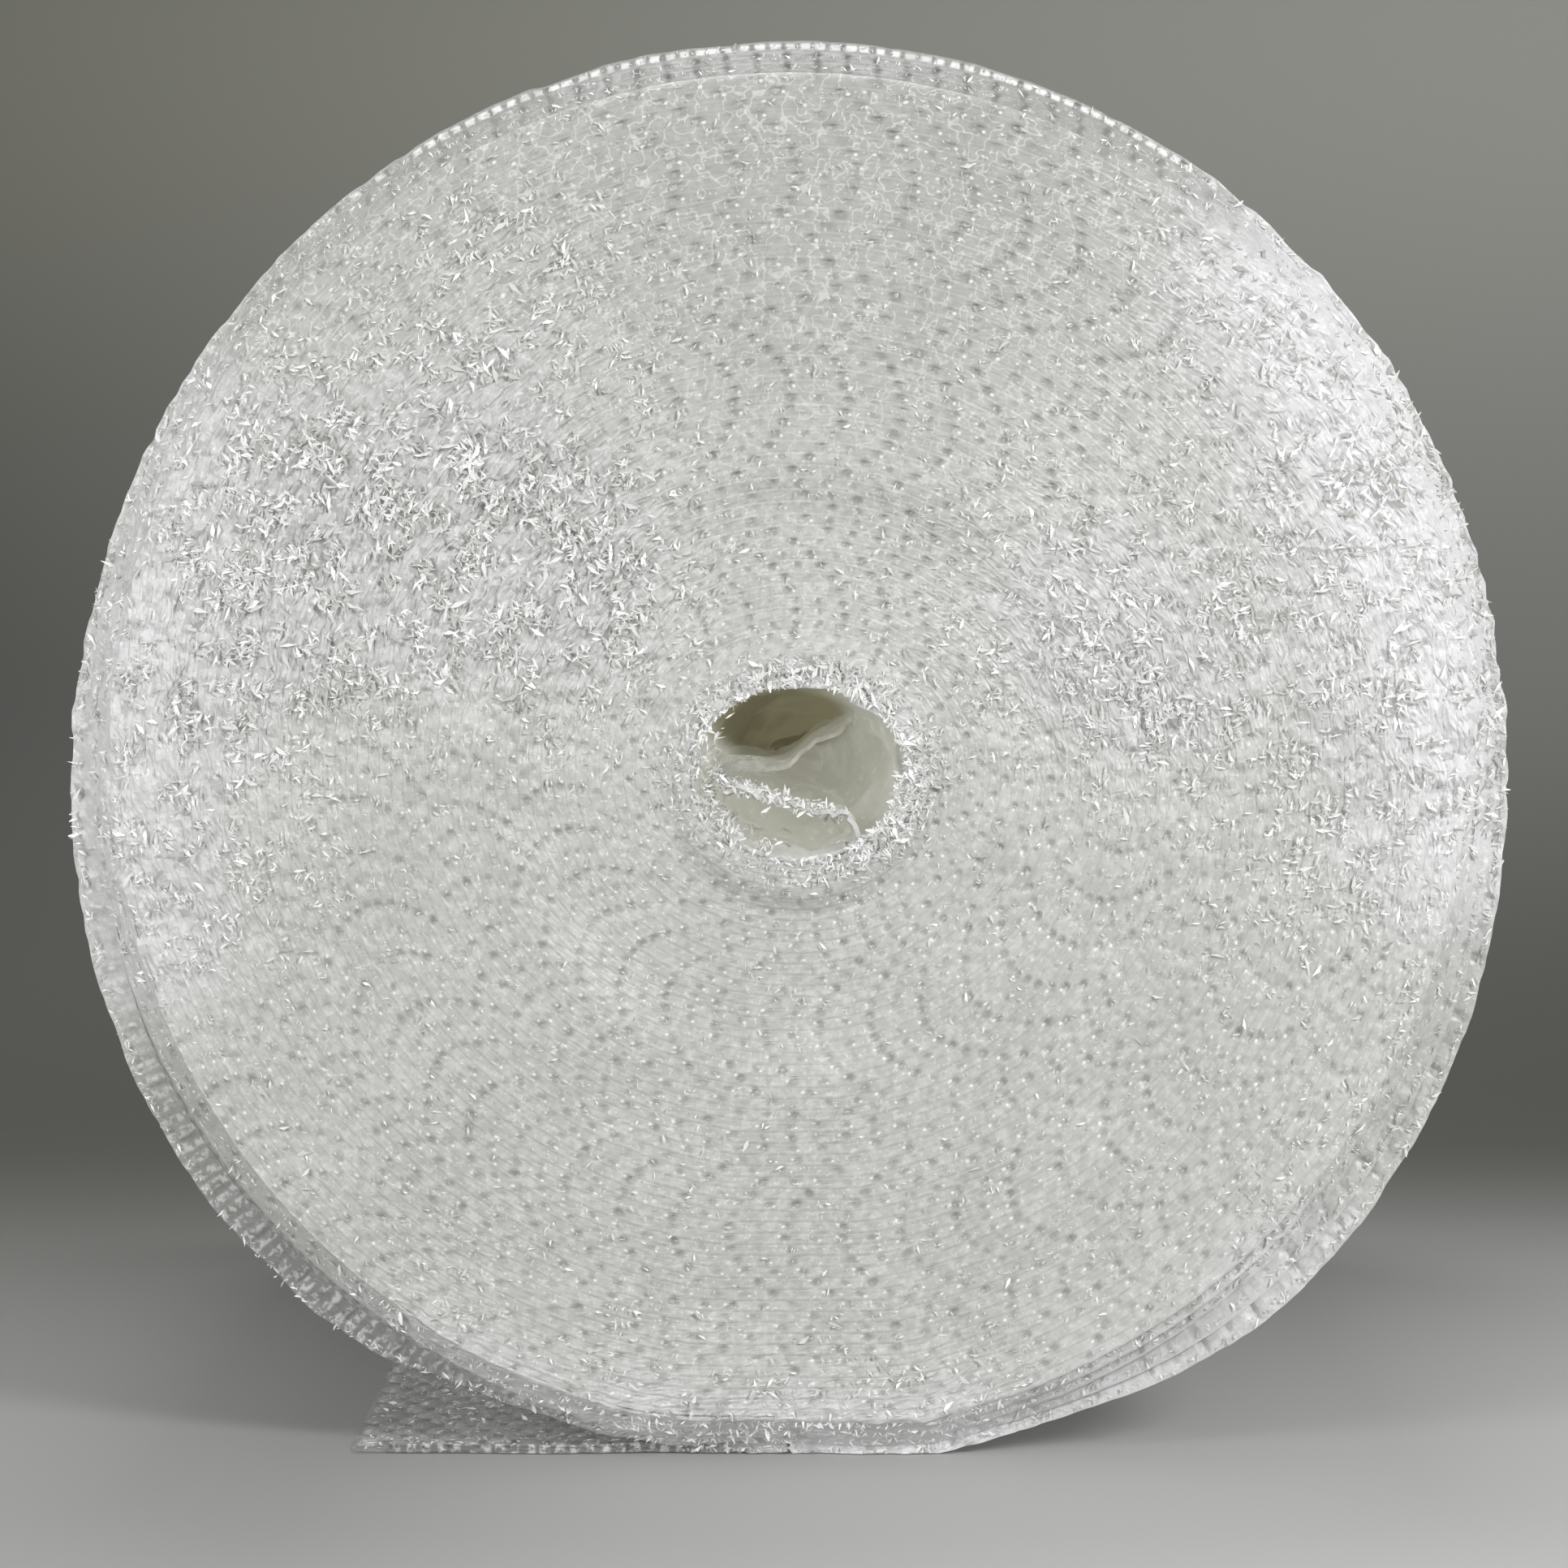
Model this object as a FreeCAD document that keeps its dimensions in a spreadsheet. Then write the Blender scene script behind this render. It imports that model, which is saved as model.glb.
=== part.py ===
import FreeCAD, Part
import math
import os
from FreeCAD import Vector

# A large roll of small-bubble cushioning film, lying on its curved side.
# It has no core: one continuous web runs from its crumpled inner end in the hole,
# round all the packed turns and the slack outer ones, to its free end on the floor.
# The roll's axis lies along Y, the end face that is looked at is towards -Y, and the
# origin is on the floor, midway along the roll and under the middle of its outline.

os.makedirs("parts", exist_ok=True)
document = FreeCAD.newDocument("BubbleFilmRoll")

# Driving sizes, in millimetres
SIZES = {
    "roll_width": (500.0, "width of the web, along the axis"),
    "roll_diameter": (500.0, "outside of the outermost turn, side to side"),
    "hole_width": (69.0, "clear hole inside the innermost turn, side to side"),
    "hole_height": (58.0, "the same hole, top to bottom, sagged by the roll's weight"),
    "hole_drop": (5.1, "how far the hole hangs below the middle of the outline"),
    "hole_shift": (3.1, "how far the hole sits to the right of that middle"),
    "web_thickness": (3.1, "flat film with its bubbles, pressed in the roll"),
    "turn_gap": (0.9, "aimed clearance from one turn to the next"),
    "flat_spot_width": (97.0, "where the soft roll is pressed flat, with its rounded ends"),
    "flat_rounding": (2.5, "how softly the flat spot runs into the round of each turn"),
    "tail_length": (155.0, "free end of the web, from under the axis"),
    "left_slack": (10.0, "gap behind the hanging outermost turn, lower left"),
    "right_slack": (4.5, "gap behind each of the last two turns, lower right"),
    "shoulder_step": (4.5, "how far each outer turn's edge lies behind the one inside it"),
    "face_dish": (4.0, "how far the end faces are sunk in a ring round the hole"),
    "fold_radius": (3.4, "fold where the web's inner end turns back on itself"),
}

sheet = document.addObject("Spreadsheet::Sheet", "Sizes")
sheet.set("A1", "size")
sheet.set("B1", "mm")
sheet.set("C1", "what it is")
for row, (alias, (value, meaning)) in enumerate(SIZES.items(), start=2):
    sheet.set(f"A{row}", alias)
    sheet.set(f"B{row}", str(value))
    sheet.set(f"C{row}", meaning)
    sheet.setAlias(f"B{row}", alias)
document.recompute()


def size(alias):
    return float(sheet.get(alias))


roll_radius = size("roll_diameter") / 2
hole_radius = (size("hole_width") + size("hole_height")) / 4
hole_widened = size("hole_width") / 2 / hole_radius - 1
web = size("web_thickness")

# The flat spot is a chord of the outermost turn, so it fixes the axis height
flat_angle = math.degrees(math.asin(size("flat_spot_width") / 2 / roll_radius))
axis_height = roll_radius * math.cos(math.radians(flat_angle))
flat_depth = roll_radius - axis_height

# Whole turns only, so the spacing takes up what is left over
wound_depth = roll_radius - hole_radius - web
turns = round(wound_depth / (web + size("turn_gap")))
turn_spacing = wound_depth / turns

# Straight facets in each turn, and how many outer turns are finer and narrower
INNER_FACETS = 24
OUTER_FACETS = 48
FINE_TURNS = 6
SHOULDER_TURNS = 3

# The end faces are sunk between these turns, and half as deep up to the last of them
DISH_START = 3
DISH_SLOPE = 14
DISH_END = 19

# Where the web runs along the hole's wall before its first whole turn
LEAD_IN_FACETS = 2

# Directions round the roll are degrees past the floor contact, clockwise in the view
LEFT_SLACK_SPAN = (18.0, 42.0, 120.0)
RIGHT_SLACK_SPAN = (255.0, 318.0, 342.0)

# The web's inner end, as shares of the hole's half width and half height from its middle
UPPER_SHEET = [(0.56, 0.69), (0.28, 0.47), (0.0, 0.22), (-0.22, 0.12), (-0.48, 0.13)]
FOLD_CENTRE = (-0.76, 0.02)
FOLD_ANGLES = (100.0, 150.0, 210.0, 260.0)
LOWER_SHEET = [(-0.52, -0.19), (-0.2, -0.31), (0.12, -0.41), (0.34, -0.46), (0.5, -0.55),
               (0.58, -0.68), (0.57, -0.8)]


def swell(angle, span):
    """Rise from 0 to 1 and back to 0 over a span of (start, top, end) degrees."""
    start, top, end = span
    if not start < angle < end:
        return 0.0
    reach = (top - start) if angle < top else (end - top)
    return math.cos(math.pi / 2 * (angle - top) / reach) ** 2


def slack(turn_position):
    """Extra radius of the last two turns, which hang away from the tight ones."""
    turns_left = turns - turn_position
    angle = (turn_position % 1.0) * 360
    if turns_left <= 0 or turns_left >= 2:
        return 0.0
    extra = size("right_slack") * swell(angle, RIGHT_SLACK_SPAN)
    if turns_left < 1:
        extra = 2 * extra + size("left_slack") * swell(angle, LEFT_SLACK_SPAN)
    return extra


def wound_radius(turn_position):
    """Radius of the web's inner side; it doesn't grow while the web is on the flat."""
    whole = math.floor(turn_position)
    held = flat_angle / 360
    grown = (turn_position - whole - held) / (1 - 2 * held)
    grown = min(max(grown, 0.0), 1.0)
    return hole_radius + turn_spacing * (whole + grown) + slack(turn_position)


def wound_point(turn_position, radius):
    """Place a radius in the section: turns hang off centre and are pressed flat below."""
    outwards = (radius - hole_radius) / (roll_radius - hole_radius)
    outwards = min(max(outwards, 0.0), 1.0)
    centre_x = size("hole_shift") * (1 - outwards)
    centre_z = axis_height - size("hole_drop") * (1 - outwards)
    widened = hole_widened * (1 - outwards) ** 2
    angle = math.radians((turn_position % 1.0) * 360)
    below = math.cos(angle)
    if below > 0:
        floor_reach = (radius - flat_depth * outwards ** 2) / below
        rounding = size("flat_rounding") * outwards ** 2
        blend = max(rounding - abs(radius - floor_reach), 0.0)
        radius = min(radius, floor_reach)
        if blend > 0:
            radius -= blend ** 2 / rounding / 4
    return Vector(centre_x - radius * (1 + widened) * math.sin(angle), 0,
                  centre_z - radius * (1 - widened) * below)


def turn_stations(first, last):
    """Positions along the winding, in turns, at the corners of its facets."""
    stations = []
    whole = math.floor(first)
    while whole < last:
        fine = whole >= turns - FINE_TURNS
        facets = OUTER_FACETS if fine else INNER_FACETS
        shares = [corner / facets for corner in range(facets)]
        if fine:
            shares += [flat_angle / 360, 1 - flat_angle / 360]
        stations += [whole + share for share in sorted(shares)]
        whole += 1
    return [place for place in stations if first <= place < last] + [last]


def offset_sides(line):
    """Both sides of a web whose middle follows a line of points."""
    left, right = [], []
    for place, point in enumerate(line):
        before = line[max(place - 1, 0)]
        after = line[min(place + 1, len(line) - 1)]
        arriving = (point - before) if place > 0 else (after - point)
        leaving = (after - point) if place < len(line) - 1 else arriving
        arriving = Vector(arriving).normalize()
        leaving = Vector(leaving).normalize()
        across = Vector(0, 1, 0).cross(arriving + leaving).normalize()
        mitre = across.dot(Vector(0, 1, 0).cross(arriving))
        left.append(point + across * (web / 2 / mitre))
        right.append(point - across * (web / 2 / mitre))
    return left, right


def inner_end_line():
    """Middle line of the crumpled inner end, from its edge to the hole's wall."""
    middle = Vector(size("hole_shift"), 0, axis_height - size("hole_drop"))

    def in_hole(share):
        across = share[0] * size("hole_width") / 2
        above = share[1] * size("hole_height") / 2
        return middle + Vector(across, 0, above)

    line = [in_hole(share) for share in UPPER_SHEET]
    for degrees in FOLD_ANGLES:
        angle = math.radians(degrees)
        reach = Vector(math.cos(angle), 0, math.sin(angle)) * size("fold_radius")
        line.append(in_hole(FOLD_CENTRE) + reach)
    return line + [in_hole(share) for share in LOWER_SHEET]


def wound_sides(first, last):
    """Inner and outer side of the web from one position of the winding to another."""
    inner, outer = [], []
    for place in turn_stations(first, last):
        radius = wound_radius(place)
        inner.append(wound_point(place, radius))
        outer.append(wound_point(place, radius + web))
    return inner, outer


def section_face(inner, outer):
    wire = Part.makePolygon(inner + outer[::-1] + inner[:1])
    return Part.Face(wire)


def add_band(name, face, setback):
    """Draw a stretch of the web as its section; each of its edges lies back by setback."""
    section = document.addObject("Part::Feature", name + "_section")
    section.Shape = face
    band = document.addObject("Part::Extrusion", name)
    band.Base = section
    band.DirMode = "Custom"
    band.Dir = Vector(0, 1, 0)
    band.Solid = True
    band.Symmetric = True
    band.setExpression("LengthFwd", f"Sizes.roll_width - 2 * {setback}")
    return band


# The turns round the hole, with the crumpled inner end that leads into them
lead_in = -LEAD_IN_FACETS / INNER_FACETS
flap_inner, flap_outer = offset_sides(inner_end_line())
ring_inner, ring_outer = wound_sides(lead_in, DISH_START)
ring_face = section_face(flap_inner + ring_inner, flap_outer + ring_outer)
bands = [add_band("hole_turns", ring_face, "0")]

# The tight turns: a sunken ring, its slope, and the flat rest of the face
for name, first, last, setback in (
    ("sunken_turns", DISH_START, DISH_SLOPE, "Sizes.face_dish"),
    ("sloping_turns", DISH_SLOPE, DISH_END, "Sizes.face_dish / 2"),
    ("tight_turns", DISH_END, turns - SHOULDER_TURNS, "0"),
):
    bands.append(add_band(name, section_face(*wound_sides(first, last)), setback))

# The outer turns, each a step narrower; the last runs out along the floor
for step in range(1, SHOULDER_TURNS + 1):
    first = turns - SHOULDER_TURNS + step - 1
    inner, outer = wound_sides(first, first + 1)
    if step == SHOULDER_TURNS:
        tail_end = -size("tail_length")
        inner.append(Vector(tail_end, 0, web))
        outer.append(Vector(tail_end, 0, 0))
    setback = f"{step} * Sizes.shoulder_step"
    bands.append(add_band(f"outer_turn_{step}", section_face(inner, outer), setback))

roll = document.addObject("Part::MultiFuse", "Roll")
roll.Shapes = bands
roll.Refine = False
roll.Label = "bubble_film_roll"
document.recompute()

for item in document.Objects:
    if "Invalid" in item.State or "Error" in item.State:
        raise RuntimeError(f"{item.Label} did not build: {item.State}")
if roll.Shape.isNull() or not roll.Shape.isValid() or len(roll.Shape.Solids) != 1:
    raise RuntimeError("the roll is not one sound solid")

box = roll.Shape.BoundBox
print(f"{turns} turns, {turn_spacing:.3f} mm apart, web about"
      f" {roll.Shape.Volume / web / size('roll_width') / 1000:.1f} m long")
print(f"faces {len(roll.Shape.Faces)}, volume {roll.Shape.Volume / 1e9:.5f} m3")
print(f"box x {box.XMin:.2f} {box.XMax:.2f} y {box.YMin:.2f} {box.YMax:.2f}"
      f" z {box.ZMin:.3f} {box.ZMax:.2f}")
roll.Shape.exportStep(f"parts/{roll.Label}.step")
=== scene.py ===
import itertools
import math

import bmesh
import bpy
import numpy as np
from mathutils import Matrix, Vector


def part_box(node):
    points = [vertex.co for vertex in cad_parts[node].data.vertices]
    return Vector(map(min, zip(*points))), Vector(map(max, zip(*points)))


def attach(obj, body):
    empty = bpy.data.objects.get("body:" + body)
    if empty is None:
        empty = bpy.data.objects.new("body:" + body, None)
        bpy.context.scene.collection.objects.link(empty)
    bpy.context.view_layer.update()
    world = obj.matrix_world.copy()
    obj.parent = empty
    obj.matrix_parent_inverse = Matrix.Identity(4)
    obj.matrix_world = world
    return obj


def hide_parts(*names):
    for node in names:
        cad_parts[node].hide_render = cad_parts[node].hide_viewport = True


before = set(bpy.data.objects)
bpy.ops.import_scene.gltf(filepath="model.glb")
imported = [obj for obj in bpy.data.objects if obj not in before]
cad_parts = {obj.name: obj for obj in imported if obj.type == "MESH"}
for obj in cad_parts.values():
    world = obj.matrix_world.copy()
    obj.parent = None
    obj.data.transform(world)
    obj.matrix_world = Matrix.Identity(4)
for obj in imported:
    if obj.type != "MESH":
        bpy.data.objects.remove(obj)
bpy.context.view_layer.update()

# The roll, in metres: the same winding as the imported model's, which gives the width and floor
ROLL = "bubble_film_roll"
LOW, HIGH = (np.array(corner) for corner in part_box(ROLL))
ROLL_RADIUS = 0.250
HOLE_WIDTH = 0.069
HOLE_HEIGHT = 0.058
HOLE_RADIUS = (HOLE_WIDTH + HOLE_HEIGHT) / 4
HOLE_WIDENED = HOLE_WIDTH / 2 / HOLE_RADIUS - 1
HOLE_DROP = 0.0051
HOLE_SHIFT = 0.0031
WEB = 0.0031
TURNS = 54
LEAD_IN = -2 / 24
FLAT_WIDTH = 0.097
FLAT_ROUNDING = 0.0025
TAIL_LENGTH = 0.155
TAIL_SHARE = TAIL_LENGTH / (math.tau * ROLL_RADIUS)
LEFT_SLACK = 0.010
RIGHT_SLACK = 0.0045
SHOULDER_STEP = 0.0045
SHOULDER_TURNS = 3
HALF_WIDTH = (HIGH[1] - LOW[1]) / 2
SPACING = (ROLL_RADIUS - HOLE_RADIUS - WEB) / TURNS
FLAT_ANGLE = math.asin(FLAT_WIDTH / 2 / ROLL_RADIUS)
AXIS_HEIGHT = ROLL_RADIUS * math.cos(FLAT_ANGLE)
FLAT_DEPTH = ROLL_RADIUS - AXIS_HEIGHT
HOLE_MIDDLE = AXIS_HEIGHT - HOLE_DROP
LAST_HALF_WIDTH = HALF_WIDTH - SHOULDER_TURNS * SHOULDER_STEP
HOLE_CENTRE = np.array([HOLE_SHIFT, 0, HOLE_MIDDLE])

# Stretches round the outer turns: start, top and end of each, in degrees past the floor contact
LEFT_SLACK_SPAN = (18.0, 42.0, 120.0)
RIGHT_SLACK_SPAN = (255.0, 318.0, 342.0)
STEPPED_SPAN = (285.0, 322.0, 350.0)
BARE_BEFORE_SPAN = (285.0, 322.0, 355.0)
BAND_SPAN = (125.0, 182.0, 240.0)
KINKED_SPAN = (18.0, 50.0, 80.0)
HANGING_SPAN = (6.0, 42.0, 76.0)

RIGHT, BACK, UP = np.eye(3)

# Repeats of the bubble pattern along the cut edge: the first turn's, how many more in each turn,
# and how long one is in millimetres
FIRST_REPEATS = 17.65
ADDED_REPEATS = 1.055
REPEAT_MM = 19.7

# Folds seen along the loose film, and beads of painted highlight on the cut edge's bubbles, in each
# repeat
BARS_PER_REPEAT = 4.175
BEADS_PER_REPEAT = 4.0

# The last place on the winding, as positions at whole turns start a new one
LAST_PLACE = TURNS - 1e-4

# Bubbles of the web's face
BUBBLE_PITCH = 0.0114
BUBBLE_RADIUS = 0.0049

# The photograph's frame and how the roll sits in it
FRAME_PIXELS = 1932
PIXEL = 0.2810e-3
VIEW_DISTANCE = 1.5
VIEW_ELEVATION = math.radians(3.0)
OUTLINE_MIDDLE = (972.5, 931.0)


def swell(angle, span):
    """Rise from 0 to 1 and back to 0 over a span of (start, top, end) degrees."""
    start, top, end = span
    reach = np.where(angle < top, top - start, end - top)
    inside = (angle > start) & (angle < end)
    return np.where(inside, np.cos(math.pi / 2 * (angle - top) / reach) ** 2, 0.0)


def slack(turn):
    """Extra radius of the last two turns, which hang away from the tight ones."""
    left = TURNS - turn
    angle = (turn % 1.0) * 360
    right_gap = RIGHT_SLACK * swell(angle, RIGHT_SLACK_SPAN)
    left_gap = LEFT_SLACK * swell(angle, LEFT_SLACK_SPAN)
    loose = np.where(left < 1, 2 * right_gap + left_gap, right_gap)
    return np.where((left > 0) & (left < 2), loose, 0.0)


def wound_radius(turn):
    """Radius of the web's inner side, held while the web is on the flat."""
    whole = np.floor(turn)
    held = FLAT_ANGLE / math.tau
    grown = np.clip((turn - whole - held) / (1 - 2 * held), 0, 1)
    return HOLE_RADIUS + SPACING * (whole + grown) + slack(turn)


def wound_places(turn, lift):
    """Section points (x, z) at positions of the winding, lifted off the web's inner side."""
    radius = wound_radius(turn) + lift
    outwards = np.clip((radius - HOLE_RADIUS) / (ROLL_RADIUS - HOLE_RADIUS), 0, 1)
    centre_x = HOLE_SHIFT * (1 - outwards)
    centre_z = AXIS_HEIGHT - HOLE_DROP * (1 - outwards)
    widened = HOLE_WIDENED * (1 - outwards) ** 2
    angle = (turn % 1.0) * math.tau
    below = np.cos(angle)
    floor_reach = (radius - FLAT_DEPTH * outwards ** 2) / np.maximum(below, 1e-6)
    rounding = FLAT_ROUNDING * outwards ** 2 + 1e-9
    blend = np.maximum(rounding - np.abs(radius - floor_reach), 0)
    pressed = np.minimum(radius, floor_reach) - blend ** 2 / rounding / 4
    radius = np.where(below > 0, pressed, radius)
    x = centre_x - radius * (1 + widened) * np.sin(angle)
    return x, centre_z - radius * (1 - widened) * below


def rise(value, low, high):
    """0 below low, 1 above high, smooth between."""
    share = np.clip((value - low) / (high - low), 0, 1)
    return share * share * (3 - 2 * share)


def turn_of_repeat(repeat):
    """Position along the winding, in turns, where a repeat of the edge pattern falls."""
    root = np.sqrt(FIRST_REPEATS ** 2 + 2 * ADDED_REPEATS * repeat)
    return (root - FIRST_REPEATS) / ADDED_REPEATS


def repeat_of_turn(turn):
    return FIRST_REPEATS * turn + ADDED_REPEATS * turn ** 2 / 2


def points_at(x, y, z):
    """Points, one in each row, from coordinates that may each be one number for all."""
    return np.stack(np.broadcast_arrays(x, y, z), axis=1).astype(float)


def grain(points, cell, seed):
    """Smooth random numbers from -1 to 1 at points, with bumps about one cell across."""
    scaled = points / cell
    base = np.floor(scaled)
    blend = scaled - base
    blend = blend * blend * (3 - 2 * blend)
    base = base.astype(np.int64)
    total = np.zeros(len(points))
    for corner in itertools.product((0, 1), repeat=3):
        near = base + np.array(corner)
        mixed = near[:, 0] * 73856093 ^ near[:, 1] * 19349663 ^ near[:, 2] * 83492791
        mixed = (mixed ^ seed * 668265263) & 0x7FFFFFFF
        mixed = (mixed * 1103515245 + 12345) & 0x7FFFFFFF
        mixed = (mixed ^ mixed >> 13) * 1274126177 & 0x7FFFFFFF
        weight = np.prod(np.where(np.array(corner) == 1, blend, 1 - blend), axis=1)
        total += weight * (mixed / 0x3FFFFFFF - 1)
    return total


def grain_vectors(points, cell, seed):
    return np.stack([grain(points, cell, seed + axis) for axis in range(3)], axis=1)


def flat_grid(name, along, across, gap=0):
    """A mesh grid, with each gap-th step along it left open, and its corners' steps."""
    bm = bmesh.new()
    bmesh.ops.create_grid(bm, x_segments=along, y_segments=across, size=0.5)
    if gap:
        links = [face for face in bm.faces
                 if int((face.calc_center_median().x + 0.5) * along) % gap == gap - 1]
        bmesh.ops.delete(bm, geom=links, context="FACES_ONLY")
    mesh = bpy.data.meshes.new(name)
    bm.to_mesh(mesh)
    bm.free()
    corners = mesh_points(mesh)
    step_along = np.rint((corners[:, 0] + 0.5) * along).astype(int)
    step_across = np.rint((corners[:, 1] + 0.5) * across).astype(int)
    return mesh, step_along, step_across


def mesh_points(mesh):
    flat = np.empty(len(mesh.vertices) * 3, dtype=np.float32)
    mesh.vertices.foreach_get("co", flat)
    return flat.reshape(-1, 3).astype(float)


def place_points(mesh, points, facing=None):
    """Move a mesh's corners, and turn its faces over if they look away from facing.

    Facing is one direction, or a function that gives a direction for each face's middle.
    """
    mesh.vertices.foreach_set("co", np.ascontiguousarray(points, dtype=np.float32).ravel())
    mesh.update()
    if facing is not None:
        normals = np.empty(len(mesh.polygons) * 3, dtype=np.float32)
        mesh.polygons.foreach_get("normal", normals)
        centres = np.empty(len(mesh.polygons) * 3, dtype=np.float32)
        mesh.polygons.foreach_get("center", centres)
        outlook = facing(centres.reshape(-1, 3)) if callable(facing) else facing
        if (normals.reshape(-1, 3) * outlook).sum() < 0:
            mesh.flip_normals()


def corner_values(mesh, **named):
    """Store named numbers for each corner of a mesh, for its finish to read."""
    for name, values in named.items():
        layer = mesh.attributes.new(name, "FLOAT", "POINT")
        layer.data.foreach_set("value", np.ascontiguousarray(values, dtype=np.float32))


def web_uv(mesh, along, across):
    """Lay the web's own coordinates on a mesh, for the pattern that follows it."""
    layer = mesh.uv_layers.new(name="web")
    loops = np.empty(len(mesh.loops), dtype=np.int32)
    mesh.loops.foreach_get("vertex_index", loops)
    pairs = np.stack([along[loops], across[loops]], axis=1).astype(np.float32)
    layer.data.foreach_set("uv", pairs.ravel())


def add_object(name, data):
    made = bpy.data.objects.new(name, data)
    bpy.context.collection.objects.link(made)
    return made


def finish_piece(mesh, material, smooth=False):
    """Make a mesh one of the roll's pieces."""
    for face in mesh.polygons:
        face.use_smooth = smooth
    mesh.materials.append(material)
    piece = add_object(mesh.name, mesh)
    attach(piece, "root")
    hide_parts(ROLL)
    return piece


class Tone:
    """A number in a material, which can be added, multiplied and so on."""

    def __init__(self, finish, socket):
        self.finish = finish
        self.socket = socket

    def _math(self, operation, first, second=0.0):
        settings = {"operation": operation}
        return self.finish.node("ShaderNodeMath", settings, {0: first, 1: second})

    def __add__(self, other):
        return self._math("ADD", self, other)

    def __radd__(self, other):
        return self._math("ADD", other, self)

    def __sub__(self, other):
        return self._math("SUBTRACT", self, other)

    def __rsub__(self, other):
        return self._math("SUBTRACT", other, self)

    def __mul__(self, other):
        return self._math("MULTIPLY", self, other)

    def __truediv__(self, other):
        return self._math("DIVIDE", self, other)

    def __pow__(self, other):
        return self._math("POWER", self, other)

    def math(self, operation, other=0.0):
        return self._math(operation, self, other)

    def from_half(self):
        """How far the number is from one half."""
        return (self - 0.5).math("ABSOLUTE")


class Finish:
    """A material being made, with its shader's constants set on their own sockets."""

    def __init__(self, name, **constants):
        self.material = bpy.data.materials.new(name)
        self.material.use_nodes = True
        self.material.cycles.emission_sampling = "NONE"
        self.tree = self.material.node_tree
        self.shader = self.tree.nodes["Principled BSDF"]
        for key, value in constants.items():
            self.feed(self.shader.inputs[key.replace("_", " ")], value)

    def feed(self, socket, value):
        if isinstance(value, Tone):
            self.tree.links.new(value.socket, socket)
        else:
            socket.default_value = value

    def node(self, kind, settings=None, inputs=None, output=0):
        made = self.tree.nodes.new(kind)
        for key, value in (settings or {}).items():
            setattr(made, key, value)
        for key, value in (inputs or {}).items():
            self.feed(made.inputs[key], value)
        return Tone(self, made.outputs[output])

    def set(self, socket, value):
        self.feed(self.shader.inputs[socket], value)

    def axis(self, vector, index):
        """One of a vector's three numbers."""
        return self.node("ShaderNodeSeparateXYZ", None, {0: vector}, index)

    def web(self):
        """The web's own coordinates: repeats along its edge, and share of a turn across."""
        uv = self.node("ShaderNodeUVMap", {"uv_map": "web"})
        return self.axis(uv, 0), self.axis(uv, 1)

    def place(self):
        return self.node("ShaderNodeTexCoord", output="Object")

    def stored(self, name):
        return self.node("ShaderNodeAttribute", {"attribute_name": name}, output="Fac")

    def step(self, value, low, high):
        """0 below low, 1 above high, smooth between; low may be the larger."""
        settings = {"interpolation_type": "SMOOTHSTEP"}
        inputs = {"Value": value, "From Min": low, "From Max": high}
        return self.node("ShaderNodeMapRange", settings, inputs)

    def noise(self, scale, detail=2.0):
        inputs = {"Vector": self.place(), "Scale": scale, "Detail": detail}
        return self.node("ShaderNodeTexNoise", None, inputs)

    def chance(self, value):
        """The same random number from 0 to 1 wherever the value is the same."""
        return self.node("ShaderNodeTexWhiteNoise", {"noise_dimensions": "1D"}, {"W": value})

    def creases(self, scale):
        """Distance to the nearest crease of crumpled film, in creases."""
        wave = {"Vector": self.place(), "Scale": scale * 0.4, "Detail": 1.0}
        bent = self.node("ShaderNodeTexNoise", None, wave, "Color")
        warped = self.node("ShaderNodeVectorMath", {"operation": "MULTIPLY_ADD"},
                           {0: bent, 1: (1.2 / scale,) * 3, 2: self.place()})
        inputs = {"Vector": warped, "Scale": scale}
        return self.node("ShaderNodeTexVoronoi", {"feature": "DISTANCE_TO_EDGE"}, inputs)

    def facets(self, scale):
        """Height of a crumple made of small flat facets, each tilted its own way."""
        inputs = {"Vector": self.place(), "Scale": scale}
        cell_colour = self.node("ShaderNodeTexVoronoi", None, inputs, "Color")
        cell_middle = Tone(self, cell_colour.socket.node.outputs["Position"])
        less = {"operation": "SUBTRACT"}
        tilt = self.node("ShaderNodeVectorMath", less, {0: cell_colour, 1: (0.5, 0.5, 0.5)})
        offset = self.node("ShaderNodeVectorMath", less, {0: self.place(), 1: cell_middle})
        dot = {"operation": "DOT_PRODUCT"}
        return self.node("ShaderNodeVectorMath", dot, {0: tilt, 1: offset}, "Value")

    def mix(self, share, first, second):
        inputs = {0: share, 6: first, 7: second}
        return self.node("ShaderNodeMix", {"data_type": "RGBA"}, inputs, 2)

    def bump(self, height, distance, strength=1.0):
        inputs = {"Height": height, "Distance": distance, "Strength": strength}
        self.set("Normal", self.node("ShaderNodeBump", None, inputs))


def grey(level, warmth=0.0):
    """A near-neutral colour; warmth tips it from blue to a yellowish green."""
    return (level * (1 + warmth * 0.5), level * (1 + warmth * 0.6), level * (1 - warmth), 1.0)


FILM_FACE = grey(0.50, 0.030)
FILM_WHITE = grey(0.88, 0.006)
FILM_FROST = grey(0.86, -0.014)
FILM_SHADE = grey(0.43, 0.038)
FILM_PIT_SHADE = grey(0.20, 0.040)
FILM_RECESS_SHADE = grey(0.30, 0.030)
FILM_BAND = grey(0.29, 0.020)
FILM_BAR = grey(0.10, 0.030)
FILM_HANGING = grey(0.20, 0.030)
FILM_TOP_SHADE = grey(0.37, 0.036)


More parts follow.
